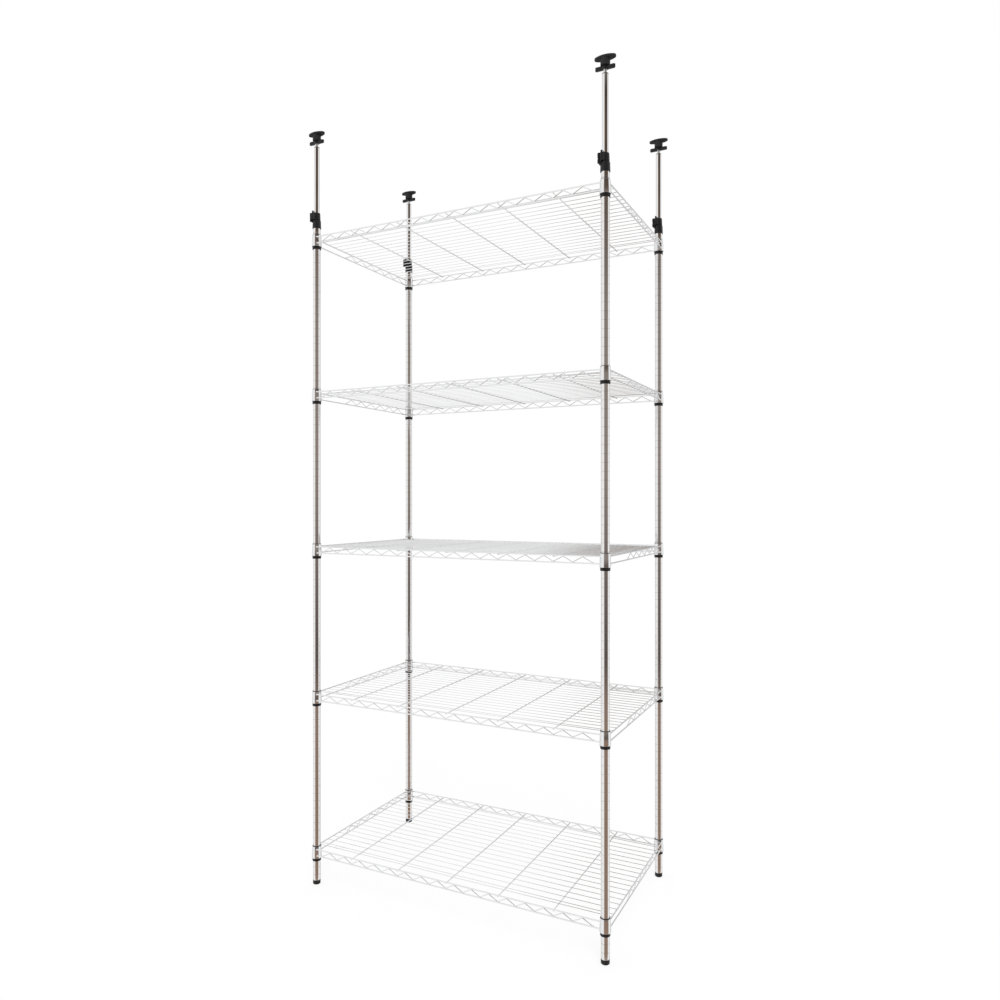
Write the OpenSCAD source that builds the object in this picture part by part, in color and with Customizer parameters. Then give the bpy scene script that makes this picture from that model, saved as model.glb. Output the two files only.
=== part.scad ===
// Floor-to-ceiling wire shelving unit, in millimetres.
// Five wire shelves hang on split clips that grip the grooves of four tubular posts.
// An inner pole slides out of each post, a flip lock holds it, and a screw jack presses a pad to the ceiling.
// The origin is on the floor below the middle of the unit. +Z is up and the front faces -Y.

/* [Shelves] */
// Length of a shelf, between the centre lines of its end rails
shelf_len = 1066.8; // [700:0.1:1500]
// Depth of a shelf, between the centre lines of its front and rear rails
shelf_depth = 600.6; // [420:0.1:750]
// Distance from a rail's centre line in to the post's axis
corner_inset = 11.3; // [10.9:0.1:11.9]
// Grooves of the post from each shelf to the next one, from the bottom up
bay_groove_counts = [21, 20, 21, 21]; // [6:1:30]
// Diameter of the rails
rail_d = 4; // [3.5:0.1:6]
// Height of the lower rail's centre above the bottom of the collars
lower_rail_z = 10; // [6:0.1:11]
// Height from the lower rail's centre to the upper rail's centre
rail_spacing = 21.2; // [19:0.1:24]

/* [Truss wires] */
// Diameter of the zigzag wire between the rails
truss_d = 3; // [2.5:0.1:4.5]
// Length of one zigzag, from valley to valley
truss_pitch = 60.96; // [45:0.01:90]
// Bend radius of the zigzag wire, on its centre line
truss_bend_r = 6; // [4:0.1:8]
// Straight tail at each end of a zigzag wire
truss_tail = 4; // [1:0.5:10]
// Least distance from a corner of the rails to the first valley
truss_corner = 45.7; // [36:0.1:60]
// Zigzags on each short side, counted from the rear corner
side_zigzags = 6; // [1:1:6]

/* [Deck wires] */
// Diameter of the thin wires that run along the shelf
deck_d = 2; // [1.5:0.1:4]
// Distance between the thin wires
deck_pitch = 30.48; // [15:0.01:60]
// Distance from the rail's centre line to the outermost thin wire
deck_edge = 41.2; // [30:0.1:60]
// Least gap between the outermost thin wire and the next one, between centre lines
deck_edge_gap = 12; // [5:0.5:20]
// Diameter of the thicker wires that run across the shelf
cross_d = 3.5; // [3:0.1:6]
// Zigzags from one cross wire to the next
cross_every = 3; // [1:1:5]
// Least distance from the end rail to the first cross wire
cross_margin = 60; // [30:1:150]
// Gap left for the weld where two wires touch
weld_gap = 0.03; // [0.02:0.01:0.1]

/* [Collars and clips] */
// Height of the corner collars
collar_h = 40; // [36:0.5:55]
// Outer diameter of a collar at its top
collar_top_d = 30.3; // [30.3:0.1:34]
// Outer diameter of a collar at its bottom
collar_bottom_d = 33.6; // [33.6:0.1:38]
// Wall of a collar
collar_wall = 1; // [0.8:0.1:1.1]
// Height of the clip's rim above the collar
clip_rim_h = 2; // [1:0.5:4]
// Height of the clip's ring below the collar
clip_ring_h = 10; // [5:0.5:14]
// Outer diameter of the clip's ring
clip_ring_d = 29.4; // [28:0.1:31]
// Height of the clip's inner rib above the bottom of the collar
clip_rib_z = 20; // [8:0.5:30]
// Gap between the two halves of a clip
clip_split = 0.6; // [0.3:0.1:2]

/* [Posts] */
// Outer diameter of a post
post_d = 25.4; // [25:0.1:25.6]
// Wall of a post
post_wall = 1.2; // [1:0.1:1.4]
// Distance between the grooves
groove_pitch = 25.4; // [20:0.1:30]
// Height of a groove at the post's surface
groove_w = 2.2; // [1.6:0.1:3]
// Depth of a groove
groove_depth = 0.5; // [0.2:0.05:0.6]
// Height of the lowest groove above the post's lower end
first_groove = 20; // [10:0.5:24]
// Grooves below the one that carries the lowest shelf
groove_count_below = 3; // [1:1:20]
// Length of post above the groove that carries the highest shelf
post_above = 69.5; // [60:0.5:120]

/* [Inner poles] */
// Outer diameter of an inner pole
pole_d = 19.05; // [18:0.05:19.5]
// Wall of an inner pole
pole_wall = 1; // [0.8:0.1:1.5]
// Length of an inner pole that stays inside its post
pole_inside = 298; // [150:1:500]
// Length of an inner pole that stands out of its lock
pole_outside = 226; // [60:0.5:500]
// Height of the guide sleeve inside the top of a post
guide_h = 25; // [10:1:40]
// Distance from the post's top end down to the guide sleeve
guide_drop = 4; // [1:0.5:15]

/* [Locks] */
// Height of the lock's sleeve over the post
lock_sleeve_h = 26.5; // [22:0.5:32]
// Height of the lock's clamp above the post
lock_clamp_h = 26.5; // [26:0.5:36]
// Outer diameter of the lock at its bottom
lock_bottom_d = 29.4; // [28.6:0.1:29.6]
// Outer diameter of the clamp at the lock's top
lock_top_d = 23.4; // [22.6:0.1:24.4]
// Distance from the post's axis to the front face of the clamp's ears
ear_reach = 16.6; // [16.5:0.1:18]
// Distance from the post's axis to the left face of the ears
ear_left = 11; // [10.6:0.1:11.8]
// Distance from the post's axis to the right face of the ears
ear_right = 3.4; // [3.2:0.1:5]
// Width of the slit between the ears
slit_w = 1.5; // [0.8:0.1:2]
// Height of the tab on top of the left ear
tab_h = 7; // [1:0.5:9]
// Height of the lever
lever_h = 28.5; // [26:0.5:34]
// Thickness of the lever's grip
lever_t = 3.5; // [2.5:0.1:4.5]
// Radius of the lever's knuckle round its pin
knuckle_r = 3.6; // [3.3:0.1:4]
// Diameter of the lever's pin
lever_pin_d = 3; // [2:0.1:3.4]
// Diameter of the clamp bolt
lock_bolt_d = 3.2; // [2.5:0.1:3.6]

/* [Ceiling jacks] */
// Diameter of the jack's screw
screw_d = 11; // [7:0.1:12]
// Length of screw inside the pole's plug
screw_inside = 26; // [15:0.5:28]
// Length of screw that shows below the wing handle
screw_shown = 12.5; // [3:0.5:20]
// Height of the plug inside the pole
plug_h = 30; // [28:1:45]
// Thickness of the plug's brim on the pole's end
plug_brim = 2; // [0.8:0.1:4]
// Length of the wing handle
wing_len = 60; // [40:0.5:80]
// Width of the wings
wing_w = 10; // [7:0.1:14]
// Height of the wing handle
wing_h = 9.8; // [8:0.1:20]
// Diameter of the boss in the middle of the wing handle
boss_d = 17; // [15:0.5:30]
// Lower diameter of the pad's hub
hub_low_d = 28; // [20:0.1:30]
// Upper diameter of the pad's hub
hub_top_d = 28.4; // [20:0.1:30]
// Height of the pad's hub
hub_h = 20.4; // [13:0.1:25]
// Length of the ceiling pad
pad_len = 64.4; // [45:0.1:90]
// Width of the ceiling pad
pad_w = 30; // [26:0.1:45]
// Thickness of the ceiling pad
pad_t = 6; // [4:0.1:12]
// Radius of the ceiling pad's rounded ends
pad_end_r = 9; // [4:0.1:12.5]

/* [Feet] */
// Height of a foot
foot_h = 14.3; // [13:0.1:25]
// Chamfer round the foot's bottom edge
foot_chamfer = 1.5; // [0.5:0.1:3]
// Diameter of the foot's stem
stem_d = 8; // [5:0.5:10]
// Length of stem above the foot
stem_up = 24; // [12:0.5:30]
// Height of the threaded insert in the post
insert_h = 25; // [15:0.5:40]

/* [Clearances] */
// Radial clearance between a piece and the one that it slides or turns on
run_gap = 0.05; // [0.03:0.01:0.08]
// Radial clearance between a piece and the one that it is pressed into
press_gap = 0.02; // [0.01:0.01:0.04]
// Gap between two faces that meet but move apart
seat_gap = 0.3; // [0.2:0.05:0.5]

/* [Hidden] */
$fn = 48;
corner_names = ["front_left", "front_right", "back_left", "back_right"];
corner_sides = [[-1, -1], [1, -1], [-1, 1], [1, 1]];
shelves = [0 : 4];
corners = [0 : 3];
// How far a cut reaches past the face that it goes through
over = 1;

// Colours
chrome = "silver";
plastic = "dimgray";
zinc = "darkgray";

// Radii of the round stock
post_r = post_d / 2;
post_bore_r = post_r - post_wall;
pole_r = pole_d / 2;
pole_bore_r = pole_r - pole_wall;
rail_r = rail_d / 2;
truss_r = truss_d / 2;
deck_r = deck_d / 2;
cross_r = cross_d / 2;
stem_r = stem_d / 2;
screw_r = screw_d / 2;

// Place of the post axes
post_x = shelf_len / 2 - corner_inset;
post_y = shelf_depth / 2 - corner_inset;

// Heights of the posts and of the shelves that their grooves carry
post_z = foot_h + seat_gap;
function grooves_to(i) = i == 0 ? groove_count_below : grooves_to(i - 1) + bay_groove_counts[i - 1];
function groove_z(n) = post_z + first_groove + n * groove_pitch;
function shelf_z(i) = groove_z(grooves_to(i)) - clip_rib_z;
post_top = groove_z(grooves_to(4)) + post_above;
post_len = post_top - post_z;
groove_count = floor((post_len - first_groove - lock_sleeve_h - groove_w) / groove_pitch) + 1;

// Collars and clips
collar_top_r = collar_top_d / 2;
collar_bottom_r = collar_bottom_d / 2;
clip_ring_r = clip_ring_d / 2;
clip_edge = 1;

// Rails, zigzags and deck wires, above the bottom of the collars
upper_rail_z = lower_rail_z + rail_spacing;
truss_low = lower_rail_z + rail_r + truss_r + weld_gap;
truss_high = upper_rail_z - rail_r - truss_r - weld_gap;
truss_half = truss_pitch / 2;
truss_spare = 2 * truss_bend_r - (truss_high - truss_low);
truss_slope = asin(2 * truss_bend_r / norm([truss_half, truss_spare])) - atan2(truss_spare, truss_half);
truss_leg = (truss_half - 2 * truss_bend_r * sin(truss_slope)) / cos(truss_slope);
long_zigzags = 2 * floor((shelf_len / 2 - truss_corner) / truss_pitch);
leg_neck = 0.1;
leg_poke = 0.3;
cross_z = upper_rail_z - rail_r - cross_r - weld_gap;
cross_pitch = cross_every * truss_pitch;
cross_side = floor((shelf_len / 2 - cross_margin) / cross_pitch);
cross_len = shelf_depth + rail_r;
deck_z = cross_z + cross_r + deck_r + weld_gap;
deck_half_len = shelf_len / 2 - rail_r - weld_gap;
deck_side = floor((shelf_depth / 2 - deck_edge - deck_edge_gap) / deck_pitch);

// Locks, above the lock's bottom
lock_z = post_top - lock_sleeve_h;
lock_h = lock_sleeve_h + lock_clamp_h;
lock_top = lock_z + lock_h;
sleeve_draft = 0.8;
sleeve_top_r = lock_bottom_d / 2 - sleeve_draft;
clamp_draft = 0.9;
clamp_low_r = lock_top_d / 2 + clamp_draft;
lock_edge = 0.8;
lock_step_h = 1;
ear_slot_over_step = 0.2;
ear_slot_h = 1.2;
ear_slot_low = lock_sleeve_h + lock_step_h + ear_slot_over_step;
ear_slot_high = ear_slot_low + ear_slot_h;
ear_slot_deep = 2;
ear_top = lock_h - lock_edge;
slit_x = (ear_right - ear_left) / 2;

// Tab on the left ear, from the ear's left and front faces
tab_in = 1.5;
tab_back = 2;
tab_deep = 5;

// Clamp bolt, its nut in the right ear and its eye round the lever's pin
bolt_drop = 3;
bolt_z = (ear_slot_high + ear_top) / 2 - bolt_drop;
bolt_r = lock_bolt_d / 2;
nut_rim = 1.5;
nut_r = bolt_r + nut_rim;
nut_t = 2.6;
nut_wall = 0.5;
nut_play = 0.1;
bolt_y = -ear_reach + nut_wall + (nut_r + nut_play) * cos(30);
eye_gap = 0.2;
eye_r = knuckle_r - eye_gap;
eye_over = 1;
eye_h = lock_bolt_d + 2 * eye_over;

// Lever, whose grip follows the housing between two angles round the post's axis
lever_pin_x = -ear_left - seat_gap - knuckle_r;
lever_pin_r = lever_pin_d / 2;
lever_below_bolt = 14;
lever_z = bolt_z - lever_below_bolt;
grip_gap = 0.4;
grip_r = lock_bottom_d / 2 + grip_gap;
grip_from = 150;
grip_to = 200;
root_outer_angle = 250;
root_inner_angle = 40;
root_step = [-1.5, 1.3];
pin_short = 1;

// Inner poles and jacks
pole_top = lock_top + pole_outside;
pole_bottom = post_top - pole_inside;
handle_z = pole_top + plug_brim + screw_shown;
hub_z = handle_z + wing_h + seat_gap;
pad_z = hub_z + hub_h;
spigot_h = 12;
pad_recess_rim = 5;
pad_recess_r = pad_w / 2 - pad_recess_rim;
pad_recess_out = 3;
pad_recess_x = pad_len / 4 + pad_recess_out;
pad_recess_deep = 1.2;
pad_end_x = pad_len / 2 - pad_end_r;
pad_side_r = (pow(pad_end_x, 2) + pow(pad_w / 2, 2) - pow(pad_end_r, 2)) / (pad_w - 2 * pad_end_r);
pad_side_y = pad_side_r - pad_w / 2;
pad_arc_turn = atan2(pad_side_y, pad_end_x);
pad_arc_steps = 16;

// Feet
foot_pocket_z = 5;
stem_flange_t = 3;
stem_flange_rim = 3;
stem_flange_r = stem_r + stem_flange_rim;

function on_circle(r, a) = [r * cos(a), r * sin(a)];

module at_corner(c) {
    translate([corner_sides[c].x * post_x, corner_sides[c].y * post_y, 0]) children();
}

module at_shelf(i) {
    translate([0, 0, shelf_z(i)]) children();
}

// A tube standing on z = 0
module tube(outer_r, inner_r, h) {
    rotate_extrude() translate([inner_r, 0]) square([outer_r - inner_r, h]);
}

// The outside of a collar as a solid cone, larger all round by grow
module collar_cone(grow) {
    translate([0, 0, -grow])
        cylinder(h = collar_h + 2 * grow, r1 = collar_bottom_r + grow, r2 = collar_top_r + grow);
}

// One rail along X between two collars, cut to their cones
module long_rail(side, z) {
    difference() {
        translate([-post_x, side * shelf_depth / 2, z]) rotate([0, 90, 0])
            cylinder(h = 2 * post_x, r = rail_r);
        for (end = [-1, 1])
            translate([end * post_x, side * post_y, 0]) collar_cone(weld_gap);
    }
}

// One rail along Y between two collars, cut to their cones
module short_rail(side, z) {
    difference() {
        translate([side * shelf_len / 2, post_y, z]) rotate([90, 0, 0]) cylinder(h = 2 * post_y, r = rail_r);
        for (end = [-1, 1])
            translate([side * post_x, end * post_y, 0]) collar_cone(weld_gap);
    }
}

// A bend of the zigzag wire in the XZ plane, from one angle to the other round its own centre
module truss_bend(from, to) {
    rotate([90, 0, 0]) rotate([0, 0, from]) rotate_extrude(angle = to - from)
        translate([truss_bend_r, 0]) circle(r = truss_r);
}

// A straight leg from the end of a bend, a little thinner so that it ends inside the bends
module truss_leg_wire(tilt) {
    rotate([0, 90 - tilt, 0]) translate([0, 0, -leg_poke])
        cylinder(h = truss_leg + 2 * leg_poke, r = truss_r - leg_neck);
}

// Zigzag wire along +X from a first valley at x = 0
module truss(zigzags) {
    valley = truss_low + truss_bend_r;
    peak = truss_high - truss_bend_r;
    run = truss_bend_r * sin(truss_slope);
    rise = truss_bend_r * cos(truss_slope);
    up = 90;
    down = 270;
    for (k = [0 : zigzags]) translate([k * truss_pitch, 0, valley])
        truss_bend(down - (k == 0 ? 0 : truss_slope), down + (k == zigzags ? 0 : truss_slope));
    for (k = [0 : zigzags - 1]) {
        translate([(k + 0.5) * truss_pitch, 0, peak]) truss_bend(up - truss_slope, up + truss_slope);
        translate([k * truss_pitch + run, 0, valley - rise]) truss_leg_wire(truss_slope);
        translate([(k + 0.5) * truss_pitch + run, 0, peak + rise]) truss_leg_wire(-truss_slope);
    }
    for (end = [[-truss_tail, 0], [zigzags * truss_pitch, 1]])
        translate([end[0] - end[1] * leg_poke, 0, truss_low]) rotate([0, 90, 0])
            cylinder(h = truss_tail + leg_poke, r = truss_r - leg_neck);
}

// Eight rails and four zigzag wires
module shelf_frame() color(chrome) {
    for (side = [-1, 1], z = [lower_rail_z, upper_rail_z]) {
        long_rail(side, z);
        short_rail(side, z);
    }
    for (side = [-1, 1]) {
        translate([-long_zigzags * truss_half, side * shelf_depth / 2, 0]) truss(long_zigzags);
        translate([side * shelf_len / 2, shelf_depth / 2 - truss_corner, 0]) rotate([0, 0, -90])
            truss(side_zigzags);
    }
}

// Thin wires along the shelf, lying on thicker cross wires that pass under the long upper rails
module shelf_deck() color(chrome) {
    for (k = [-deck_side : deck_side]) deck_wire(k * deck_pitch);
    for (side = [-1, 1]) deck_wire(side * (shelf_depth / 2 - deck_edge));
    for (k = [-cross_side : cross_side])
        translate([k * cross_pitch, cross_len / 2, cross_z]) rotate([90, 0, 0])
            cylinder(h = cross_len, r = cross_r);
}

module deck_wire(y) {
    translate([-deck_half_len, y, deck_z]) rotate([0, 90, 0]) cylinder(h = 2 * deck_half_len, r = deck_r);
}

module shelf_collars() color(chrome) for (c = corners) at_corner(c) rotate_extrude() polygon([
    [collar_bottom_r - collar_wall, 0],
    [collar_bottom_r, 0],
    [collar_top_r, collar_h],
    [collar_top_r - collar_wall, collar_h]
]);

// Two halves round the post: a rib in the groove, a cone that wedges in the collar, a rim above it and
// a ring below it
module split_clip() {
    seat_bottom_r = collar_bottom_r - collar_wall - run_gap;
    seat_top_r = collar_top_r - collar_wall - run_gap;
    inner_r = post_r + run_gap;
    rib_r = inner_r - groove_depth;
    rib_half = groove_w / 2 - run_gap;
    difference() {
        rotate_extrude() polygon([
            [inner_r, -clip_ring_h],
            [clip_ring_r - clip_edge, -clip_ring_h],
            [clip_ring_r, clip_edge - clip_ring_h],
            [clip_ring_r, 0],
            [seat_bottom_r, 0],
            [seat_top_r, collar_h],
            [seat_top_r, collar_h + clip_rim_h],
            [inner_r, collar_h + clip_rim_h],
            [inner_r, clip_rib_z + rib_half],
            [rib_r, clip_rib_z + rib_half - groove_depth],
            [rib_r, clip_rib_z - rib_half + groove_depth],
            [inner_r, clip_rib_z - rib_half]
        ]);
        translate([-clip_split / 2, -collar_bottom_r, -clip_ring_h - over])
            cube([clip_split, 2 * collar_bottom_r, clip_ring_h + collar_h + clip_rim_h + 2 * over]);
    }
}

module split_clips() color(plastic) for (i = shelves, c = corners) at_shelf(i) at_corner(c) split_clip();

// Tube with a row of shallow grooves
module post() color(chrome) translate([0, 0, post_z]) rotate_extrude() polygon(concat(
    [[post_bore_r, 0], [post_r, 0]],
    [for (n = [0 : groove_count - 1], p = groove_points) [p[0], p[1] + first_groove + n * groove_pitch]],
    [[post_r, post_len], [post_bore_r, post_len]]
));
groove_points = [
    [post_r, -groove_w / 2],
    [post_r - groove_depth, groove_depth - groove_w / 2],
    [post_r - groove_depth, groove_w / 2 - groove_depth],
    [post_r, groove_w / 2]
];

module foot_insert() {
    translate([0, 0, post_z]) tube(post_bore_r - press_gap, stem_r + run_gap, insert_h);
}

// Cup with a closed pocket that holds the stem's flange
module foot_base() color(plastic) rotate_extrude() polygon([
    [0, 0],
    [post_r - foot_chamfer, 0],
    [post_r, foot_chamfer],
    [post_r, foot_h],
    [stem_r + seat_gap, foot_h],
    [stem_r + seat_gap, foot_pocket_z + stem_flange_t + seat_gap],
    [stem_flange_r + seat_gap, foot_pocket_z + stem_flange_t + seat_gap],
    [stem_flange_r + seat_gap, foot_pocket_z],
    [0, foot_pocket_z]
]);

module foot_stem() color(zinc) rotate_extrude() polygon([
    [0, foot_pocket_z + run_gap],
    [stem_flange_r, foot_pocket_z + run_gap],
    [stem_flange_r, foot_pocket_z + stem_flange_t],
    [stem_r, foot_pocket_z + stem_flange_t],
    [stem_r, foot_h + stem_up],
    [0, foot_h + stem_up]
]);

// Sleeve over the post's end and a slit clamp round the inner pole, in one moulding
module lock_housing() color(plastic) translate([0, 0, lock_z]) difference() {
    union() {
        rotate_extrude() polygon([
            [0, 0],
            [lock_bottom_d / 2, 0],
            [sleeve_top_r, lock_sleeve_h],
            [clamp_low_r, lock_sleeve_h + lock_step_h],
            [lock_top_d / 2, lock_h - lock_edge],
            [lock_top_d / 2 - lock_edge, lock_h],
            [0, lock_h]
        ]);
        translate([-ear_left, -ear_reach, ear_slot_high])
            cube([ear_left + ear_right, ear_reach, ear_top - ear_slot_high]);
        translate([-ear_left + tab_in, -ear_reach + tab_back, ear_top - over])
            cube([slit_x + ear_left - slit_w / 2 - tab_in, tab_deep, tab_h + lock_edge + over]);
    }
    translate([0, 0, -over]) cylinder(h = lock_h + 2 * over, r = pole_r + run_gap);
    translate([0, 0, -over]) cylinder(h = lock_sleeve_h + run_gap + over, r = post_r + run_gap);
    translate([slit_x - slit_w / 2, -ear_reach - over, ear_slot_low])
        cube([slit_w, ear_reach - pole_r / 2, lock_h + tab_h]);
    translate([-2 * ear_left, -ear_reach - over, ear_slot_low])
        cube([4 * ear_left, ear_reach - ear_slot_deep, ear_slot_high - ear_slot_low]);
    translate([-ear_left - over, bolt_y, bolt_z]) rotate([0, 90, 0])
        cylinder(h = ear_left + ear_right + 2 * over, r = bolt_r + run_gap);
    translate([ear_right - nut_t - nut_play, bolt_y, bolt_z]) rotate([0, 90, 0])
        cylinder(h = nut_t + over, r = nut_r + nut_play, $fn = 6);
}

// Clamp bolt with an eye round the lever's pin, and its hexagon nut in the right ear
module lock_bolt() translate([0, bolt_y, lock_z + bolt_z]) {
    difference() {
        union() {
            translate([lever_pin_x, 0, 0]) rotate([0, 90, 0])
                cylinder(h = ear_right - lever_pin_x - nut_play, r = bolt_r);
            translate([lever_pin_x, 0, -eye_h / 2]) cylinder(h = eye_h, r = eye_r);
        }
        translate([lever_pin_x, 0, -eye_h]) cylinder(h = 2 * eye_h, r = lever_pin_r + run_gap);
    }
    translate([ear_right - nut_t - nut_play / 2, 0, 0]) rotate([0, 90, 0]) difference() {
        cylinder(h = nut_t - nut_play, r = nut_r, $fn = 6);
        translate([0, 0, -over]) cylinder(h = nut_t + 2 * over, r = bolt_r + press_gap);
    }
}

module lock_pin() {
    translate([lever_pin_x, bolt_y, lock_z + lever_z + pin_short])
        cylinder(h = lever_h - 2 * pin_short, r = lever_pin_r);
}

// Knuckle round the pin, a root and a grip that follows the housing's side
module lock_lever() color(plastic) translate([0, 0, lock_z]) difference() {
    pin = [lever_pin_x, bolt_y];
    translate([0, 0, lever_z]) union() {
        translate(pin) cylinder(h = lever_h, r = knuckle_r);
        linear_extrude(height = lever_h) polygon([
            pin + on_circle(knuckle_r, root_outer_angle),
            pin + [root_step.x - knuckle_r, root_step.y],
            on_circle(grip_r + lever_t, grip_to),
            on_circle(grip_r, grip_to),
            pin + on_circle(knuckle_r, root_inner_angle)
        ]);
        rotate([0, 0, grip_from]) rotate_extrude(angle = grip_to - grip_from + 1)
            translate([grip_r, 0]) square([lever_t, lever_h]);
    }
    translate([pin.x, pin.y, lever_z - over]) cylinder(h = lever_h + 2 * over, r = lever_pin_r + run_gap);
    translate([pin.x, pin.y, bolt_z - eye_h / 2 - seat_gap])
        cylinder(h = eye_h + 2 * seat_gap, r = knuckle_r + 2 * seat_gap);
}

module inner_pole() color(chrome) {
    translate([0, 0, pole_bottom]) tube(pole_r, pole_bore_r, pole_top - pole_bottom);
}

module pole_guide() {
    translate([0, 0, post_top - guide_drop - guide_h])
        tube(post_bore_r - press_gap, pole_r + run_gap, guide_h);
}

module pole_plug() color(plastic) translate([0, 0, pole_top]) rotate_extrude() polygon([
    [screw_r + run_gap, -plug_h],
    [pole_bore_r - press_gap, -plug_h],
    [pole_bore_r - press_gap, press_gap],
    [pole_r, press_gap],
    [pole_r, plug_brim],
    [screw_r + run_gap, plug_brim]
]);

// Screw that carries the wing handle, and whose upper end turns in the pad's hub
module jack_screw() color(chrome) {
    translate([0, 0, pole_top - screw_inside])
        cylinder(h = hub_z + spigot_h - pole_top + screw_inside, r = screw_r);
}

module jack_handle() color(plastic) translate([0, 0, handle_z]) difference() {
    union() {
        cylinder(h = wing_h, d = boss_d);
        linear_extrude(height = wing_h) square([wing_len - wing_w, wing_w], center = true);
        for (side = [-1, 1]) translate([side * (wing_len - wing_w) / 2, 0, 0])
            cylinder(h = wing_h, d = wing_w);
    }
    translate([0, 0, -over]) cylinder(h = wing_h + 2 * over, r = screw_r + press_gap);
}

// Oval pad with a hub below it and a shallow round recess under each end
module ceiling_pad() color(plastic) difference() {
    union() {
        translate([0, 0, hub_z]) cylinder(h = hub_h + over, d1 = hub_low_d, d2 = hub_top_d);
        difference() {
            translate([0, 0, pad_z]) pad_slab();
            for (side = [-1, 1]) translate([side * pad_recess_x, 0, pad_z - over])
                cylinder(h = pad_recess_deep + over, r = pad_recess_r);
        }
    }
    translate([0, 0, hub_z - over]) cylinder(h = spigot_h + seat_gap + over, r = screw_r + run_gap);
}

// Outline of four arcs that run smoothly into each other, two round ends and two flatter sides
module pad_slab() {
    function arc(r, centre, from, to) = [for (k = [0 : pad_arc_steps - 1])
        centre + on_circle(r, from + (to - from) * k / pad_arc_steps)];
    linear_extrude(height = pad_t) polygon(concat(
        arc(pad_end_r, [pad_end_x, 0], -pad_arc_turn, pad_arc_turn),
        arc(pad_side_r, [0, -pad_side_y], pad_arc_turn, 180 - pad_arc_turn),
        arc(pad_end_r, [-pad_end_x, 0], 180 - pad_arc_turn, 180 + pad_arc_turn),
        arc(pad_side_r, [0, pad_side_y], 180 + pad_arc_turn, 360 - pad_arc_turn)
    ));
}

for (i = shelves) {
    at_shelf(i) shelf_frame();
    at_shelf(i) shelf_deck();
    at_shelf(i) shelf_collars();
}
split_clips();
for (c = corners) {
    at_corner(c) post();
    at_corner(c) lock_housing();
    at_corner(c) lock_lever();
    at_corner(c) inner_pole();
    at_corner(c) pole_plug();
    at_corner(c) jack_screw();
    at_corner(c) jack_handle();
    at_corner(c) ceiling_pad();
    at_corner(c) foot_base();
    at_corner(c) foot_stem();
}
color(plastic) for (c = corners) at_corner(c) pole_guide();  // pole_guides
color(zinc) for (c = corners) at_corner(c) lock_pin();  // lock_pins
color(zinc) for (c = corners) at_corner(c) lock_bolt();  // lock_bolts
color(plastic) for (c = corners) at_corner(c) foot_insert();  // foot_inserts
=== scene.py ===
import math

import bpy
import numpy as np
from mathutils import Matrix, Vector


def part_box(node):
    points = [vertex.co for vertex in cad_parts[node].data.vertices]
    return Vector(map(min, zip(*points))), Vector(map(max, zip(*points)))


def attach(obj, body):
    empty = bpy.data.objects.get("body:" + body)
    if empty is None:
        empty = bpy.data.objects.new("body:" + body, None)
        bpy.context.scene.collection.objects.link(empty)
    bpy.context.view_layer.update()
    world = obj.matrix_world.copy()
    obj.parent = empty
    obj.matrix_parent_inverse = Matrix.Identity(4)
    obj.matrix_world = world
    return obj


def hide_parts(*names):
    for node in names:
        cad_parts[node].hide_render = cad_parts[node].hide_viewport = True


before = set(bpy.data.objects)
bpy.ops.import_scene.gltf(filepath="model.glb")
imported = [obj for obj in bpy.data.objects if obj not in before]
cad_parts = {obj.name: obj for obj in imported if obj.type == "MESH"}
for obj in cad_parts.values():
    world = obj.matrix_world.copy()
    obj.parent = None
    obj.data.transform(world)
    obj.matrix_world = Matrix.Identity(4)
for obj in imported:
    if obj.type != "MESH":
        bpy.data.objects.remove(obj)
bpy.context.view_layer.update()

perMetre = 1000
corners = {"front_left": (-1, -1), "front_right": (1, -1), "back_left": (-1, 1), "back_right": (1, 1)}
sides = (-1, 1)


def nodeBox(node):
    low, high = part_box(node)
    return np.array(low) * perMetre, np.array(high) * perMetre


# Surfaces: each is its points in millimetres and a list of face arrays

# a rounded rim has three rings: how far in and how far along each lies, in parts of the rim's radius
rimIn, rimAlong = np.array([1, 0.3, 0]), np.array([0, 0.3, 1])
axisRadius = 0.3  # a solid turned about the axis starts and ends this far from it


def joined(*surfaces):
    # one surface of several: the faces of each count on from the points before it
    points, faces, count = [], [], 0
    for part, partFaces in surfaces:
        points.append(part)
        faces += [array + count for array in partFaces]
        count += len(part)
    return np.concatenate(points), faces


def copied(surface, places):
    # the same surface once at each place: every point plus every offset
    points, faces = surface
    places = np.asarray(places, float).reshape(-1, 3)
    starts = (np.arange(len(places)) * len(points))[:, None, None]
    shifted = (points[None] + places[:, None]).reshape(-1, 3)
    return shifted, [(array[None] + starts).reshape(-1, array.shape[1]) for array in faces]


def moved(surface, place):
    return copied(surface, [place])


def turned(surface, degrees):
    # x and y turned together: x cos a - y sin a, and x sin a + y cos a
    points, faces = surface
    a = math.radians(degrees)
    turn = np.array([[math.cos(a), math.sin(a), 0], [-math.sin(a), math.cos(a), 0], [0, 0, 1]])
    return points @ turn, faces


def woven(points, rowsClosed=False, columnsClosed=True, capped=False):
    # quads between neighbours of a rows by columns grid, and one face over each end row where capped
    rows, columns = points.shape[:2]
    i, j = np.meshgrid(np.arange(rows if rowsClosed else rows - 1),
                       np.arange(columns if columnsClosed else columns - 1), indexing="ij")
    up, along = (i + 1) % rows, (j + 1) % columns
    quads = np.stack([i * columns + j, i * columns + along, up * columns + along, up * columns + j], -1)
    faces = [quads.reshape(-1, 4)]
    if capped:
        around = np.arange(columns)[None]
        faces += [around[:, ::-1], around + (rows - 1) * columns]
    return points.reshape(-1, 3), faces


def ringAngles(columns):
    # equal steps round a full turn
    return np.linspace(0, 2 * math.pi, columns, endpoint=False)


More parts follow.
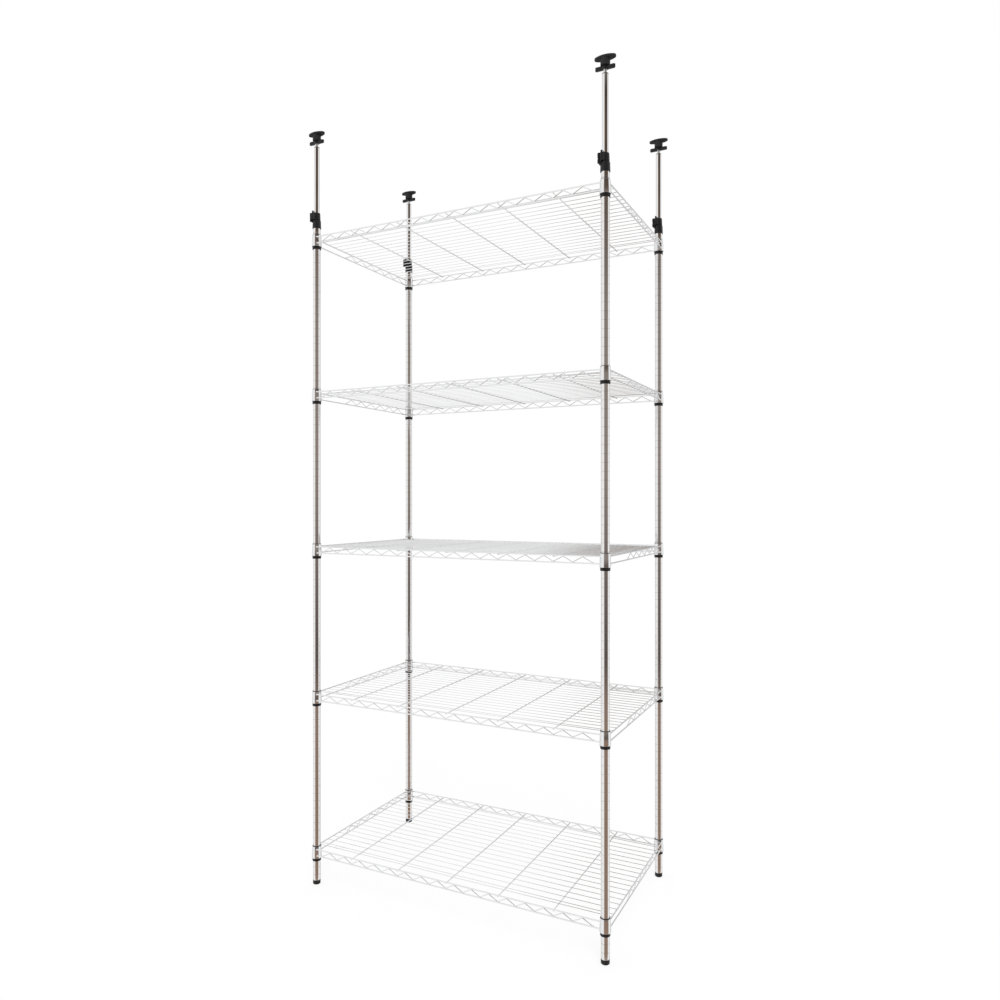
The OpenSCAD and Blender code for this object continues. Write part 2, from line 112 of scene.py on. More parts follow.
def arc(centre, radius, start, end, steps):
    # centre + radius times cosine and sine, from one angle in degrees to the other
    a = np.radians(np.linspace(start, end, steps))
    return np.column_stack([centre[0] + radius * np.cos(a), centre[1] + radius * np.sin(a)])


def softened(outline, radius, steps=3, closed=True, largestShare=0.45):
    # each corner becomes a parabola between the two points that lie radius away from it on its sides
    outline = np.asarray(outline, float)
    if closed:
        before, corner, after = np.roll(outline, 1, 0), outline, np.roll(outline, -1, 0)
    else:
        before, corner, after = outline[:-2], outline[1:-1], outline[2:]
    radius = np.broadcast_to(np.asarray(radius, float), (len(corner),))[:, None]
    ends = []
    for leg in (before - corner, after - corner):
        size = np.linalg.norm(leg, axis=1, keepdims=True)
        ends.append(corner + leg / size * np.minimum(radius, largestShare * size))
    first, last = ends
    t = np.linspace(0, 1, steps + 1)[None, :, None]
    curve = (1 - t) ** 2 * first[:, None] + 2 * t * (1 - t) * corner[:, None] + t ** 2 * last[:, None]
    curve = curve.reshape(-1, 2)
    return curve if closed else np.concatenate([outline[:1], curve, outline[-1:]])


def lathed(profile, columns=48, start=0, turn=360, closed=True):
    # radius and height turned about the upright axis: r cos a, r sin a, z
    profile = np.asarray(profile, float)
    whole = turn == 360
    a = np.radians(start + np.linspace(0, turn, columns, endpoint=not whole))[None]
    r, z = profile[:, :1], profile[:, 1:]
    points = np.stack([r * np.cos(a), r * np.sin(a), z + 0 * a], -1)
    flat, faces = woven(points, rowsClosed=closed, columnsClosed=whole, capped=not closed)
    if not whole:
        ends = np.arange(len(profile))[None] * columns
        faces += [ends, ends[:, ::-1] + columns - 1]
    return flat, faces


def turnedSolid(outline, rounds, columns):
    # a profile out from the axis and back to it, its corners softened, turned about the axis
    return lathed(softened(outline, rounds, closed=False), columns, closed=False)


def ringTube(radius, bore, low, high, rim=0.3):
    # a rectangle from bore to radius, its corners softened, turned about the axis
    return lathed(softened([(bore, low), (radius, low), (radius, high), (bore, high)], rim))


def inset(outline, distance, leastStretch=0.3):
    # every corner goes inwards along the sum of its two side normals,
    # stretched so that the sides stay parallel
    side = np.roll(outline, -1, 0) - outline
    side /= np.linalg.norm(side, axis=1, keepdims=True)
    after = np.stack([side[:, 1], -side[:, 0]], -1)
    before = np.roll(after, 1, 0)
    stretch = np.maximum(1 + np.sum(after * before, 1, keepdims=True), leastStretch)
    return outline - distance * (after + before) / stretch


def slabRings(outline, low, high, depth, rise):
    # the outline carried upwards, drawn in by depth where it is rise away from its lower and upper faces
    levels = np.concatenate([low + rise, (high - rise)[::-1]])
    depths = np.concatenate([depth, depth[::-1]])
    return np.array([np.column_stack([inset(outline, d), np.full(len(outline), z)])
                     for d, z in zip(depths, levels)])


def pillar(outline, low, high, edge, steps=3):
    # an outline carried upwards, with a quarter circle of radius edge round its lower and upper rims
    a = np.linspace(0, math.pi / 2, steps + 1)
    return woven(slabRings(outline, low, high, edge * (1 - np.sin(a)), edge * (1 - np.cos(a))), capped=True)


def swept(path, radii, columns=12):
    # rings across a path in an upright plane: point + r cos a side + r sin a (tangent x side)
    tangent = np.gradient(path, axis=0)
    tangent /= np.linalg.norm(tangent, axis=1, keepdims=True)
    level = path[-1] - path[0]
    side = np.array([level[1], -level[0], 0]) if abs(level[:2]).max() > 1e-6 else np.array([0, 1, 0.0])
    side = side / np.linalg.norm(side)
    other = np.cross(tangent, side)
    a = ringAngles(columns)[None, :, None]
    r = np.broadcast_to(np.asarray(radii, float), (len(path),))[:, None, None]
    return woven(path[:, None] + r * (np.cos(a) * side + np.sin(a) * other[:, None]), capped=True)


def rod(start, end, radius, columns=12, edge=0.4):
    # a straight round wire: rings along the line, the end ones drawn in by edge
    start, end = np.asarray(start, float), np.asarray(end, float)
    length = np.linalg.norm(end - start)
    away = np.concatenate([edge * rimAlong, (length - edge * rimAlong)[::-1]])
    drawnIn = edge * np.concatenate([rimIn, rimIn[::-1]])
    return swept(start + np.outer(away, (end - start) / length), radius - drawnIn, columns)


def bead(x, y, z, columns=8):
    # a small weld bead, an ellipsoid with half axes x, y and z
    rise = np.radians([-60, -20, 20, 60])[:, None]
    a = ringAngles(columns)[None]
    return woven(np.stack([x * np.cos(rise) * np.cos(a), y * np.cos(rise) * np.sin(a),
                           z * np.sin(rise) + 0 * a], -1), capped=True)


def threaded(radius, depth, pitch, low, high, columns=24, rowsPerTurn=8):
    # radius less depth times a triangle wave of z / pitch - a / full turn, fading out at both ends
    z = np.linspace(low, high, int((high - low) / pitch * rowsPerTurn) + 1)[:, None]
    a = ringAngles(columns)[None]
    wave = np.abs(2 * ((z / pitch - a / (2 * math.pi)) % 1) - 1)
    fade = np.clip(np.minimum(z - low, high - z) / pitch, 0, 1)
    r = radius - depth * (1 - fade * (1 - wave))
    return woven(np.stack([r * np.cos(a), r * np.sin(a), z + 0 * a], -1), capped=True)


# Materials


def grey(level):
    return (level, level, level, 1)


class Value:
    # one output of a node; arithmetic on it adds Math nodes
    def __init__(self, finish, socket):
        self.finish, self.socket = finish, socket

    def math(self, operation, *others):
        return self.finish.node("Math", {"operation": operation}, dict(enumerate((self, *others))))

    def __add__(self, other):
        return self.math("ADD", other)

    def __sub__(self, other):
        return self.math("SUBTRACT", other)

    def __rsub__(self, other):
        return self.finish.node("Math", {"operation": "SUBTRACT"}, {0: other, 1: self})

    def __mul__(self, other):
        return self.math("MULTIPLY", other)

    def __truediv__(self, other):
        return self.math("DIVIDE", other)

    __radd__, __rmul__ = __add__, __mul__


class Finish:
    # a node tree with one method that adds any node
    def __init__(self, tree):
        self.tree = tree
        tree.nodes.clear()

    def node(self, kind, settings=None, inputs=None, output=0):
        made = self.tree.nodes.new("ShaderNode" + kind)
        for key, value in (settings or {}).items():
            if key == "stops":
                self.fillRamp(made.color_ramp, value)
            else:
                setattr(made, key, value)
        for key, value in (inputs or {}).items():
            if isinstance(value, Value):
                self.tree.links.new(value.socket, made.inputs[key])
            else:
                made.inputs[key].default_value = value
        return Value(self, made.outputs[output] if len(made.outputs) else None)

    def fillRamp(self, ramp, stops):
        while len(ramp.elements) < len(stops):
            ramp.elements.new(1)
        for element, (position, colour) in zip(ramp.elements, stops):
            element.position = position
            element.color = colour if len(colour) == 4 else (*colour, 1)

    def ramp(self, stops, value):
        return self.node("ValToRGB", {"stops": stops}, {"Fac": value})

    def noise(self, scale, detail=3, roughness=0.5, stretch=(1, 1, 1)):
        place = self.node("TexCoord", output="Object")
        scaled = self.node("Mapping", {}, {"Vector": place, "Scale": stretch})
        return self.node("TexNoise", {}, {"Vector": scaled, "Scale": scale, "Detail": detail,
                                          "Roughness": roughness})

    def blend(self, factor, *colours):
        # a Mix node set to colours has its two colours at inputs 6 and 7, and its result at output 2
        first, last = (one if isinstance(one, Value) else (*one, 1) for one in colours)
        return self.node("Mix", {"data_type": "RGBA"}, {0: factor, 6: first, 7: last}, output=2)

    def bump(self, height, strength, distance):
        return self.node("Bump", {}, {"Height": height, "Strength": strength, "Distance": distance})

    def surface(self, **inputs):
        names = {"colour": "Base Color", "metallic": "Metallic", "roughness": "Roughness",
                 "normal": "Normal", "ior": "IOR", "specular": "Specular IOR Level"}
        shader = self.node("BsdfPrincipled", {}, {names[key]: value for key, value in inputs.items()})
        self.node("OutputMaterial", {}, {"Surface": shader})


def newFinish(name):
    material = bpy.data.materials.new(name)
    material.use_nodes = True
    return material, Finish(material.node_tree)


def shaded(tone, factor, lift=0):
    return tuple(factor * part + lift for part in tone)


# noise is given as scale, detail and roughness, and bump as strength and distance in metres
plating = {
    "tone": (0.9, 0.905, 0.91), "tubeTone": (0.905, 0.895, 0.887), "shade": 0.82,
    "cloud": (18, 4, 0.6), "grain": (900, 2, 0.6), "speck": (2600, 2, 0.5),
    "spots": [(0.66, grey(0)), (0.74, grey(1))], "spotShare": 0.35, "cloudShare": 0.3, "grainHaze": 0.6,
    "grainHeight": 0.5, "speckHeight": 0.2, "bump": (0.06, 0.0001),
}


def platedChrome(name, tone, roughness, haze, drawn=1, grooves=None):
    # bright plating: cloudy haze, and fine lines left by the drawing of the steel along z where drawn
    material, finish = newFinish(name)
    cloud = finish.noise(*plating["cloud"])
    grain = finish.noise(*plating["grain"], stretch=(1, 1, drawn))
    speck = finish.noise(*plating["speck"])
    spots = finish.ramp(plating["spots"], speck)
    colour = finish.blend(spots * plating["spotShare"] + cloud * plating["cloudShare"], tone,
                          shaded(tone, plating["shade"]))
    if grooves:
        # painted shade: the colour is darkened inside a groove, where the height is less than half a groove
        # from a whole number of pitches
        place = finish.node("TexCoord", output="Object")
        height = finish.node("SeparateXYZ", {}, {"Vector": place}, output="Z")
        turns = (height - grooves["first"]) / grooves["pitch"] + 0.5
        away = (turns.math("FRACT") - 0.5).math("ABSOLUTE")
        inside = away.math("LESS_THAN", grooves["half"] / grooves["pitch"])
        colour = finish.blend(inside, colour, shaded(tone, grooves["shade"]))
    patchy = roughness + cloud * haze + grain * haze * plating["grainHaze"]
    relief = grain * plating["grainHeight"] + speck * plating["speckHeight"]
    finish.surface(colour=colour, metallic=1.0, roughness=patchy,
                   normal=finish.bump(relief, *plating["bump"]))
    return material


moulding = {
    "scuff": (45, 5, 0.7), "worn": [(0.52, grey(0)), (0.75, grey(1))], "wornShare": 0.5, "grainShare": 0.25,
    "pale": 2.1, "lift": 0.004, "rough": 0.14, "polish": 0.08, "bump": (0.22, 0.00025),
}


def mouldedPlastic(name, tone, roughness, grainScale):
    # black moulding: fine spark-eroded grain, paler and smoother where it is scuffed
    material, finish = newFinish(name)
    grain = finish.noise(grainScale, detail=3, roughness=0.6)
    scuff = finish.noise(*moulding["scuff"])
    worn = finish.ramp(moulding["worn"], scuff)
    colour = finish.blend(worn * moulding["wornShare"] + grain * moulding["grainShare"], tone,
                          shaded(tone, moulding["pale"], moulding["lift"]))
    patchy = roughness + grain * moulding["rough"] - worn * moulding["polish"]
    finish.surface(colour=colour, roughness=patchy, ior=1.5, specular=0.35,
                   normal=finish.bump(grain, *moulding["bump"]))
    return material


rubber = {
    "bloom": (60, 5, 0.65), "grain": (1400, 3, 0.6), "share": 0.8, "pale": 2.4, "roughness": 0.62,
    "dust": 0.25, "bump": (0.3, 0.0003),
}


def greyRubber(name, tone):
    # soft rubber: matt, with a dusty bloom and a coarse grain
    material, finish = newFinish(name)
    bloom = finish.noise(*rubber["bloom"])
    grain = finish.noise(*rubber["grain"])
    finish.surface(colour=finish.blend(bloom * rubber["share"], tone, shaded(tone, rubber["pale"])),
                   roughness=rubber["roughness"] + bloom * rubber["dust"], ior=1.5,
                   normal=finish.bump(grain, *rubber["bump"]))
    return material


zinc = {
    "flakes": 700, "dark": (0.55, 0.56, 0.58), "pale": (0.7, 0.71, 0.72), "roughness": 0.28,
    "rough": 0.16, "grain": 1500, "bump": (0.1, 0.0001),
}


def zincPlate(name):
    # dull plated steel: small pale and dark flakes
    material, finish = newFinish(name)
    place = finish.node("TexCoord", output="Object")
    flakes = finish.node("TexVoronoi", {}, {"Vector": place, "Scale": zinc["flakes"]}, output="Color")
    flake = finish.node("SeparateColor", {}, {"Color": flakes})
    finish.surface(colour=finish.blend(flake, zinc["dark"], zinc["pale"]), metallic=1.0,
                   roughness=zinc["roughness"] + flake * zinc["rough"],
                   normal=finish.bump(finish.noise(zinc["grain"]), *zinc["bump"]))
    return material


blacking = {
    "rubbed": (240, 4, 0.6), "dark": (0.02, 0.02, 0.022), "pale": (0.05, 0.05, 0.053), "metallic": 0.8,
    "roughness": 0.42, "rough": 0.2, "grain": 1800, "bump": (0.15, 0.0001),
}


def blackedSteel(name):
    # small turned parts, blacked in hot oil: nearly black, with rubbed patches
    material, finish = newFinish(name)
    rubbed = finish.noise(*blacking["rubbed"])
    finish.surface(colour=finish.blend(rubbed, blacking["dark"], blacking["pale"]),
                   metallic=blacking["metallic"],
                   roughness=blacking["roughness"] + rubbed * blacking["rough"],
                   normal=finish.bump(finish.noise(blacking["grain"]), *blacking["bump"]))
    return material


# the posts' grooves: the first one's middle from the post's lower end, half a groove's height,
# the height of one steep side, and the painted shade inside: the factor that darkens the plating's colour
# there
groove = {"first": 20, "pitch": 25.4, "count": 88, "half": 1.1, "depth": 0.35, "side": 0.15, "shade": 0.8}
# the grooves' bands of painted shade on the posts' plating, in metres
postLow = nodeBox("post_front_right")[0][2]
paintedGrooveShade = {"first": (postLow + groove["first"]) / perMetre, "pitch": groove["pitch"] / perMetre,
               "half": groove["half"] / perMetre, "shade": groove["shade"]}
wireTone, tubeTone, black = plating["tone"], plating["tubeTone"], (0.01, 0.01, 0.011)
finishes = {
    "wire_chrome": platedChrome("wireChrome", wireTone, roughness=0.06, haze=0.06),
    "collar_chrome": platedChrome("collarChrome", wireTone, roughness=0.06, haze=0.06, drawn=0.2),
    "post_chrome": platedChrome("postChrome", tubeTone, roughness=0.035, haze=0.05, drawn=0.02,
                                grooves=paintedGrooveShade),
    "pole_chrome": platedChrome("poleChrome", tubeTone, roughness=0.03, haze=0.04, drawn=0.02),
    "screw_chrome": platedChrome("screwChrome", wireTone, roughness=0.12, haze=0.08),
    "clip_plastic": mouldedPlastic("clipPlastic", (0.009, 0.009, 0.01), roughness=0.42, grainScale=1900),
    "lock_plastic": mouldedPlastic("lockPlastic", black, roughness=0.4, grainScale=1600),
    "jack_plastic": mouldedPlastic("jackPlastic", black, roughness=0.4, grainScale=1600),
    "pad_rubber": greyRubber("padRubber", (0.011, 0.011, 0.012)),
    "foot_rubber": greyRubber("footRubber", (0.009, 0.009, 0.01)),
    "zinc_steel": zincPlate("zincSteel"),
    "black_steel": blackedSteel("blackSteel"),
    "inner_plastic": mouldedPlastic("innerPlastic", (0.03, 0.03, 0.031), roughness=0.5, grainScale=1200),
}
print("materials made:", len(finishes))


def makePiece(name, surface, body, node, slotName, sharp=38):
    points, faces = surface
    mesh = bpy.data.meshes.new(name)
    mesh.from_pydata(points * (1 / perMetre), [], [face for array in faces for face in array.tolist()])
    mesh.validate()
    mesh.polygons.foreach_set("use_smooth", np.ones(len(mesh.polygons), bool))
    mesh.set_sharp_from_angle(angle=math.radians(sharp))
    mesh.materials.append(finishes[slotName])
    made = bpy.data.objects.new(name, mesh)
    bpy.context.scene.collection.objects.link(made)
    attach(made, body)
    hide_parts(node)
    return made


# Shelves

collar = {"height": 40, "bottomRadius": 16.8, "topRadius": 15.15, "wall": 1, "rim": 0.3}
frontPost = nodeBox("post_front_right")
postX, postYFront = ((frontPost[0] + frontPost[1]) / 2)[:2]
postY = -postYFront
axes = np.array([(x * postX, y * postY, 0) for x, y in corners.values()])


def coneRadius(z):
    # outside of a collar, straight from its bottom radius to its top radius
    return collar["bottomRadius"] + (collar["topRadius"] - collar["bottomRadius"]) * z / collar["height"]


weldGap = 0.03
rail = {
    "lineX": 533.4, "lineY": 300.3, "radius": 2, "lower": 10, "upper": 31.2, "columns": 16,
    "weldRadii": (0.7, 0.45, 0.15, 0), "weldAway": (-0.3, 0.2, 0.7, 1.4), "leastSquare": 0.5,
}


def railBetweenCollars(half, offset, z):
    # a rail along x whose end rings lie on the collars' cones, flared by the weld:
    # x = half - root of (cone radius squared - y squared)
    a = ringAngles(rail["columns"])
    rings = []
    for flare, away in zip(rail["weldRadii"], rail["weldAway"]):
        radius = rail["radius"] + flare
        y, up = offset - radius * np.cos(a), z + radius * np.sin(a)
        reach = np.sqrt(np.maximum(coneRadius(up) ** 2 - y ** 2, rail["leastSquare"]))
        rings.append(np.stack([half - reach - away, y, up], -1))
    far = np.array(rings)
    near = far * (-1, 1, 1)
    return woven(np.concatenate([near, far[::-1]]), capped=True)


truss = {
    "radius": 1.5, "sink": 0.2, "pitch": 60.96, "bend": 6, "bendSteps": 7, "tail": 4,
    "tailSteps": (1, 0.9, 0.5), "endShare": 0.7, "longZigzags": 16, "sideZigzags": 6, "sideStart": 45.7,
    "bead": (2.8, 1.1, 0.7),
}


def trussWire(zigzags):
    # zigzag along x: bends half a pitch apart, low and high in turn,
    # each an arc from minus to plus the legs' slope
    steps = truss["bendSteps"]
    turn = np.arange(2 * zigzags + 1)[:, None]
    reach = rail["radius"] + truss["radius"] + weldGap
    low, high = rail["lower"] + reach, rail["upper"] - reach
    half, spare = truss["pitch"] / 2, 2 * truss["bend"] - (high - low)
    slope = math.asin(2 * truss["bend"] / math.hypot(half, spare)) - math.atan2(spare, half)
    low, high = low - truss["sink"], high + truss["sink"]
    sign = np.where(turn % 2 == 0, -1, 1)
    swing = slope * np.linspace(-1, 1, steps)[None]
    x = turn * half + truss["bend"] * np.sin(swing)
    z = np.where(sign < 0, low, high) - sign * truss["bend"] * (1 - np.cos(swing))
    path = np.stack([x, 0 * x, z], -1).reshape(-1, 3)[steps // 2: -(steps // 2)]
    tails = truss["tail"] * np.array(truss["tailSteps"])[:, None] * (1, 0, 0)
    path = np.concatenate([path[0] - tails, path, path[-1] + tails[::-1]])
    radii = np.full(len(path), float(truss["radius"]))
    radii[[0, -1]] *= truss["endShare"]
    spotZ = np.where(sign < 0, low - truss["radius"], high + truss["radius"])
    spots = np.column_stack([turn * half, 0 * turn, spotZ])
    return joined(swept(path, radii), copied(bead(*truss["bead"]), spots))


def shelfFrame():
    # on each side two rails along x and two along y between the collars, with a truss wire between each two
    parts = []
    startX = -truss["longZigzags"] * truss["pitch"] / 2
    startY = rail["lineY"] - truss["sideStart"]
    longWire, sideWire = trussWire(truss["longZigzags"]), turned(trussWire(truss["sideZigzags"]), -90)
    for side in sides:
        offset = side * (rail["lineY"] - postY)
        for z in (rail["lower"], rail["upper"]):
            parts.append(moved(railBetweenCollars(postX, offset, z), (0, side * postY, 0)))
            parts.append(moved(turned(railBetweenCollars(postY, offset, z), -90), (side * postX, 0, 0)))
        parts.append(moved(longWire, (startX, side * rail["lineY"], 0)))
        parts.append(moved(sideWire, (side * rail["lineX"], startY, 0)))
    return joined(*parts)


deck = {
    "wireRadius": 1, "pitch": 30.48, "each": 8, "edgeY": 259.1, "crossRadius": 1.75, "crossPitch": 182.88,
    "crossEach": 2, "jointBead": (1.5, 1.2, 0.6), "endBead": (0.8, 1.4, 1),
}


def shelfDeck():
    # the cross wires lie under the long upper rails,
    # and the thin wires lie on the cross wires between the end rails
    crossZ = rail["upper"] - rail["radius"] - deck["crossRadius"] - weldGap
    jointZ = crossZ + deck["crossRadius"]
    wireZ = jointZ + deck["wireRadius"] + weldGap
    halfLength, halfCross = rail["lineX"] - rail["radius"] - weldGap, rail["lineY"] + rail["radius"] / 2
    evenRows = np.arange(-deck["each"], deck["each"] + 1) * deck["pitch"]
    rows = np.append(evenRows, (-deck["edgeY"], deck["edgeY"]))
    acrossX = np.arange(-deck["crossEach"], deck["crossEach"] + 1) * deck["crossPitch"]
    jointRows = np.append(rows, (-rail["lineY"], rail["lineY"]))
    x, y = (values.ravel() for values in np.meshgrid(acrossX, jointRows))
    endX, endY = (values.ravel() for values in np.meshgrid((-halfLength, halfLength), rows))
    wire = rod((-halfLength, 0, wireZ), (halfLength, 0, wireZ), deck["wireRadius"])
    cross = rod((0, -halfCross, crossZ), (0, halfCross, crossZ), deck["crossRadius"], columns=14)
    return joined(
        copied(wire, np.column_stack([0 * rows, rows, 0 * rows])),
        copied(cross, np.column_stack([acrossX, 0 * acrossX, 0 * acrossX])),
        copied(bead(*deck["jointBead"]), np.column_stack([x, y, 0 * x + jointZ])),
        copied(bead(*deck["endBead"]), np.column_stack([endX, endY, 0 * endX + wireZ])),
    )


collarWall = softened([
    (collar["bottomRadius"] - collar["wall"], 0), (collar["bottomRadius"], 0),
    (collar["topRadius"], collar["height"]), (collar["topRadius"] - collar["wall"], collar["height"]),
], collar["rim"])
collars = copied(lathed(collarWall, columns=56), axes)
shelfParts = {
    "frame": (shelfFrame(), "wire_chrome"), "deck": (shelfDeck(), "wire_chrome"),
    "collars": (collars, "collar_chrome"),
}
shelfBottoms = []
for number in range(1, 6):
    bottom = nodeBox(f"shelf_{number}_collars")[0][2]
    shelfBottoms.append(bottom)
    for part, (surface, slotName) in shelfParts.items():
        makePiece(f"shelf{number}{part.capitalize()}", moved(surface, (0, 0, bottom)), f"shelf_{number}",
                  f"shelf_{number}_{part}", slotName)
print("shelves made, collar bottoms at", [round(z, 1) for z in shelfBottoms])

clip = {
    "bore": 12.75, "ringRadius": 14.7, "ringHeight": 10, "rimHeight": 2, "ribZ": 20, "ribHalf": 1.05,
    "ribDepth": 0.5, "play": 0.05, "gap": 1.25,
    # rounding of the section's corners, in the order of its points
    "rounds": (0.3, 1, 0.2, 0.35, 0.2, 0.6, 0.3, 0.1, 0.1, 0.1, 0.1),
}


def splitClip():
    # both halves: the section turned through half a circle less the gap
    bore, ribIn = clip["bore"], clip["ribDepth"]
    ringRadius, ringLow = clip["ringRadius"], -clip["ringHeight"]
    seatLow = collar["bottomRadius"] - collar["wall"] - clip["play"]
    seatHigh = collar["topRadius"] - collar["wall"] - clip["play"]
    top = collar["height"] + clip["rimHeight"]
    ribLow, ribHigh = clip["ribZ"] - clip["ribHalf"], clip["ribZ"] + clip["ribHalf"]
    section = softened([
        (bore, ringLow), (ringRadius, ringLow), (ringRadius, 0), (seatLow, 0), (seatHigh, collar["height"]),
        (seatHigh, top), (bore, top),
        (bore, ribHigh), (bore - ribIn, ribHigh - ribIn), (bore - ribIn, ribLow + ribIn), (bore, ribLow),
    ], clip["rounds"])
    half = 180 - 2 * clip["gap"]
    starts = (-90 + clip["gap"], 90 + clip["gap"])
    return joined(*(lathed(section, columns=26, start=start, turn=half) for start in starts))


clipPlaces = np.concatenate([axes + (0, 0, z) for z in shelfBottoms])
makePiece("splitClips", copied(splitClip(), clipPlaces), "root", "split_clips", "clip_plastic")
print("split clips made:", 2 * len(clipPlaces))

# Posts, poles and feet

post = {"radius": 12.7, "bore": 11.5, "rim": 0.35}


def postTube(low, high):
    # outside: the radius less a dip at each groove, flat at its bottom between short steep sides
    # inside: a plain bore
    away = groove["half"] - np.array([0, groove["side"], groove["side"], 0])
    dip = groove["depth"] * np.array([0, 1, 1, 0])
    centre = low + groove["first"] + groove["pitch"] * np.arange(groove["count"])[:, None]
    outside = np.stack([post["radius"] - dip + 0 * centre, centre + away * (-1, -1, 1, 1)], -1)
    rimR, rimZ = post["radius"] - post["rim"] * rimIn, post["rim"] * rimAlong
    lowRim = np.column_stack([rimR, low + rimZ])
    highRim = np.column_stack([rimR, high - rimZ])[::-1]
    bore = post["bore"]
    return lathed(np.concatenate([[(bore, low)], lowRim, outside.reshape(-1, 2), highRim, [(bore, high)]]))


innerPole = {"radius": 9.525, "bore": 8.525}
guide = {"radius": 11.48, "bore": 9.575}
foot = {"radius": 12.7, "chamfer": 1.6, "pocketZ": 5, "pocketRadius": 7.3, "pocketTop": 8.3, "neck": 4.3,
        "rounds": (0.5, 0.8, 0.4, 0.3, 0.2, 0.2, 0.2)}
stem = {"radius": 4, "depth": 0.55, "pitch": 1.25, "flangeRadius": 7, "flangeTop": 8, "edge": 0.3,
        "sink": 0.5}
insert = {"radius": 11.48, "bore": 4.05}
screw = {"radius": 5.45, "depth": 0.7, "pitch": 3}
plug = {"bore": 5.5, "barrel": 8.5, "brim": 9.525, "seat": 0.02, "rounds": (0.3, 0.6, 0.1, 0.2, 0.45, 0.3)}


def footCup(low, high):
    # a cup with a chamfered sole, closed over a pocket for the stem's flange
    floorZ, top = low + foot["pocketZ"], low + foot["pocketTop"]
    return turnedSolid([
        (axisRadius, low), (foot["radius"] - foot["chamfer"], low), (foot["radius"], low + foot["chamfer"]),
        (foot["radius"], high), (foot["neck"], high), (foot["neck"], top), (foot["pocketRadius"], top),
        (foot["pocketRadius"], floorZ), (axisRadius, floorZ),
    ], foot["rounds"], columns=56)


def footStem(low, high):
    # a flat flange with a thread above it
    flange = turnedSolid([
        (axisRadius, low), (stem["flangeRadius"], low), (stem["flangeRadius"], stem["flangeTop"]),
        (axisRadius, stem["flangeTop"]),
    ], stem["edge"], columns=40)
    threadLow = stem["flangeTop"] - stem["sink"]
    return joined(flange, threaded(stem["radius"], stem["depth"], stem["pitch"], threadLow, high))


def polePlug(low, high, poleTop):
    # a barrel inside the pole, with a brim that sits on the pole's top
    seat = poleTop + plug["seat"]
    return lathed(softened([
        (plug["bore"], low), (plug["barrel"], low), (plug["barrel"], seat), (plug["brim"], seat),
        (plug["brim"], high), (plug["bore"], high),
    ], plug["rounds"]))


# Locks

lock = {
    "bottomRadius": 14.7, "sleeveTopRadius": 13.9, "clampRadius": 12.6, "topRadius": 11.7, "bore": 9.575,
    "socket": 12.75, "sleeve": 26.5, "shoulder": 1, "height": 53, "slitX": -3.8, "slitY": -11,
    "slitHalf": 0.75, "slitTurn": 8, "slotLow": 27.7, "slotHigh": 28.9, "webFrom": -14, "webTurn": 208,
    "webInset": 0.1, "webOverlap": 0.3, "boltY": -13.3287, "boltZ": 37.55, "edge": 0.7,
    "sleeveRounds": (0.4, 0.7, 0.5, 0.5, 0.2, 0.2, 0.1, 0.1), "clampRounds": (0.2, 0.4, 0.9, 0.3),
}
ear = {
    "front": -16.6, "top": 52.2, "left": -11, "leftBack": -9.6, "leftRoot": [(-8, -7.2), (-10.2, -4.6)],
    "leftEnd": -6.2, "leftRounds": (1.4, 0.6, 0.3, 0.3, 0.3, 0.3), "tabLeft": -9.5, "tabFront": -14.6,
    "tabTop": 60, "tabSink": 1, "tabRound": 0.8, "tabEdge": 0.6, "right": 3.4, "rightBack": -10.2,
    "power": 14, "nutRadius": 3.2, "nutDepth": 2.7, "nutChamfer": 0.25, "slitInset": 0.3, "slitAlong": 0.4,
}


def lockEarLeft():
    # the ear's outline carried upwards, with a small tab on its top
    x = lock["slitX"] - lock["slitHalf"]
    outline = [(ear["left"], ear["front"]), (x, ear["front"]), (x, ear["leftBack"]), *ear["leftRoot"],
               (ear["left"], ear["leftEnd"])]
    tab = [(ear["tabLeft"], ear["tabFront"]), (x, ear["tabFront"]), (x, ear["leftBack"]),
           (ear["tabLeft"], ear["leftBack"])]
    return joined(
        pillar(softened(outline, ear["leftRounds"], steps=4), lock["slotHigh"], ear["top"], lock["edge"]),
        pillar(softened(tab, ear["tabRound"], steps=4), ear["top"] - ear["tabSink"], ear["tabTop"],
               ear["tabEdge"]),
    )


def lockEarRight(columns=48):
    # rings round the bolt's line: floor and mouth of the hexagon pocket, then the ear's rounded sides
    a = ringAngles(columns) + math.pi / columns
    sixth = math.pi / 3
    hexagon = ear["nutRadius"] * math.cos(sixth / 2) / np.cos((a + sixth / 2) % sixth - sixth / 2)
    y, z = np.cos(a), np.sin(a)
    back, front = ear["rightBack"] - lock["boltY"], ear["front"] - lock["boltY"]
    low, high = lock["slotHigh"] - lock["boltZ"], ear["top"] - lock["boltZ"]
    # a rounded box as the smaller of the two distances to its sides, softened at the corners
    sideways, upright = np.abs(y) / np.where(y > 0, back, -front), np.abs(z) / np.where(z > 0, high, -low)
    reach = (sideways ** ear["power"] + upright ** ear["power"]) ** (-1 / ear["power"])
    mouth, chamfer, inner = ear["right"], ear["nutChamfer"], lock["slitX"] + lock["slitHalf"]
    depths, aways = lock["edge"] * rimIn, lock["edge"] * rimAlong
    rims = [(reach - depth, mouth - away) for depth, away in zip(depths, aways)]
    rings = [(hexagon, mouth - ear["nutDepth"]), (hexagon, mouth - chamfer), (hexagon + chamfer, mouth),
             *rims, (reach, inner + ear["slitAlong"]), (reach - ear["slitInset"], inner)]
    points = np.stack([np.stack([np.full(len(a), x), lock["boltY"] + r * y, lock["boltZ"] + r * z], -1)
                       for r, x in rings])
    flat, faces = woven(points, capped=True)
    return flat, [array[:, ::-1] for array in faces]


